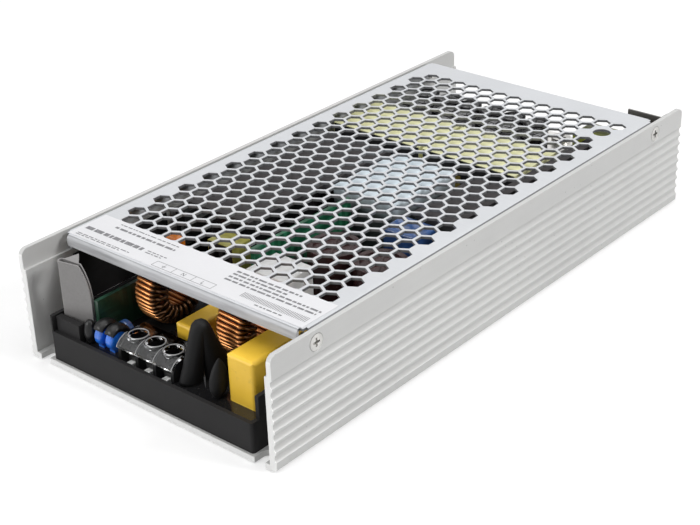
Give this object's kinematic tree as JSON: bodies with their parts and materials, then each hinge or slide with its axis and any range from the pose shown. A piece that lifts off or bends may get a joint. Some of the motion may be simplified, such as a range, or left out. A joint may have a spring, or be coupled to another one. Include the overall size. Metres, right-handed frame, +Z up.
{
  "type": "switching power supply",
  "caption": "Slim enclosed switching power supply: ribbed aluminium channel, cover with hexagonal vent holes, potted circuit board and screw terminals at its ends.",
  "frame": {"origin": "centre of the flat underside of the base", "axes": "+Z up out of the base, +Y along the supply from the mains end to the output end, +X to the right as seen from the mains end"},
  "size_m": [0.115, 0.24, 0.0411],
  "materials": {
    "anodised": "satin",
    "cover_sheet": "satin",
    "label": "matte",
    "steel": "satin",
    "tinned": "satin",
    "tray_black": "satin",
    "potting": "gloss",
    "board_green": "satin",
    "clear": "gloss",
    "copper": "gloss",
    "ferrite": "matte",
    "film_yellow": "satin",
    "lacquer_blue": "gloss",
    "lacquer_orange": "gloss",
    "sleeve_black": "satin",
    "film_grey": "satin",
    "white_case": "satin",
    "tape_yellow": "satin",
    "pale_blue": "satin",
    "chip_black": "matte",
    "can_dark": "gloss",
    "can_brown": "gloss",
    "pad_grey": "matte",
    "box_grey": "satin",
    "choke_green": "satin",
    "ivory": "satin",
    "pin_gold": "satin"
  },
  "bodies": {
    "root": {"chassis": "anodised", "top_cover": "cover_sheet", "rating_label": "label", "cover_screws": "steel", "insulating_tray": "tray_black", "main_board": "board_green", "potting": "potting", "terminal_block": "tray_black", "terminal_cover": "clear", "terminal_screws": "steel", "terminal_clamps": "tinned", "left_choke_core": "ferrite", "left_choke_winding": "copper", "right_choke_core": "ferrite", "right_choke_winding": "copper", "choke_bases": "tray_black", "large_film_capacitor": "film_yellow", "small_film_capacitor": "film_yellow", "varistors": "lacquer_blue", "varistor_sleeves": "sleeve_black", "fuse_sleeve": "sleeve_black", "small_disc_capacitor": "lacquer_blue", "bent_sleeve": "sleeve_black", "sleeved_thermistor": "sleeve_black", "filter_board": "board_green", "folded_insulator": "film_grey", "barrier_strip": "tray_black", "side_liner": "tray_black", "input_capacitors": "can_brown", "orange_capacitor": "lacquer_orange", "relay": "white_case", "standby_core": "ferrite", "standby_tape": "tape_yellow", "boost_choke": "pale_blue", "control_board": "board_green", "control_chips": "chip_black", "bulk_capacitors": "can_dark", "left_heat_pad": "pad_grey", "right_heat_pad": "pad_grey", "resonant_capacitors": "box_grey", "blue_capacitor": "pale_blue", "transformer_cores": "ferrite", "transformer_windings": "tape_yellow", "transformer_tapes": "tape_yellow", "power_transistors": "chip_black", "wall_pads": "film_grey", "clamp_bars": "steel", "output_capacitors": "can_dark", "output_choke": "choke_green", "output_busbars": "tinned", "output_screws": "steel", "output_terminal_base": "tray_black", "signal_connector": "ivory", "signal_pins": "pin_gold", "corner_insulator": "film_grey"}
  },
  "joints": []
}
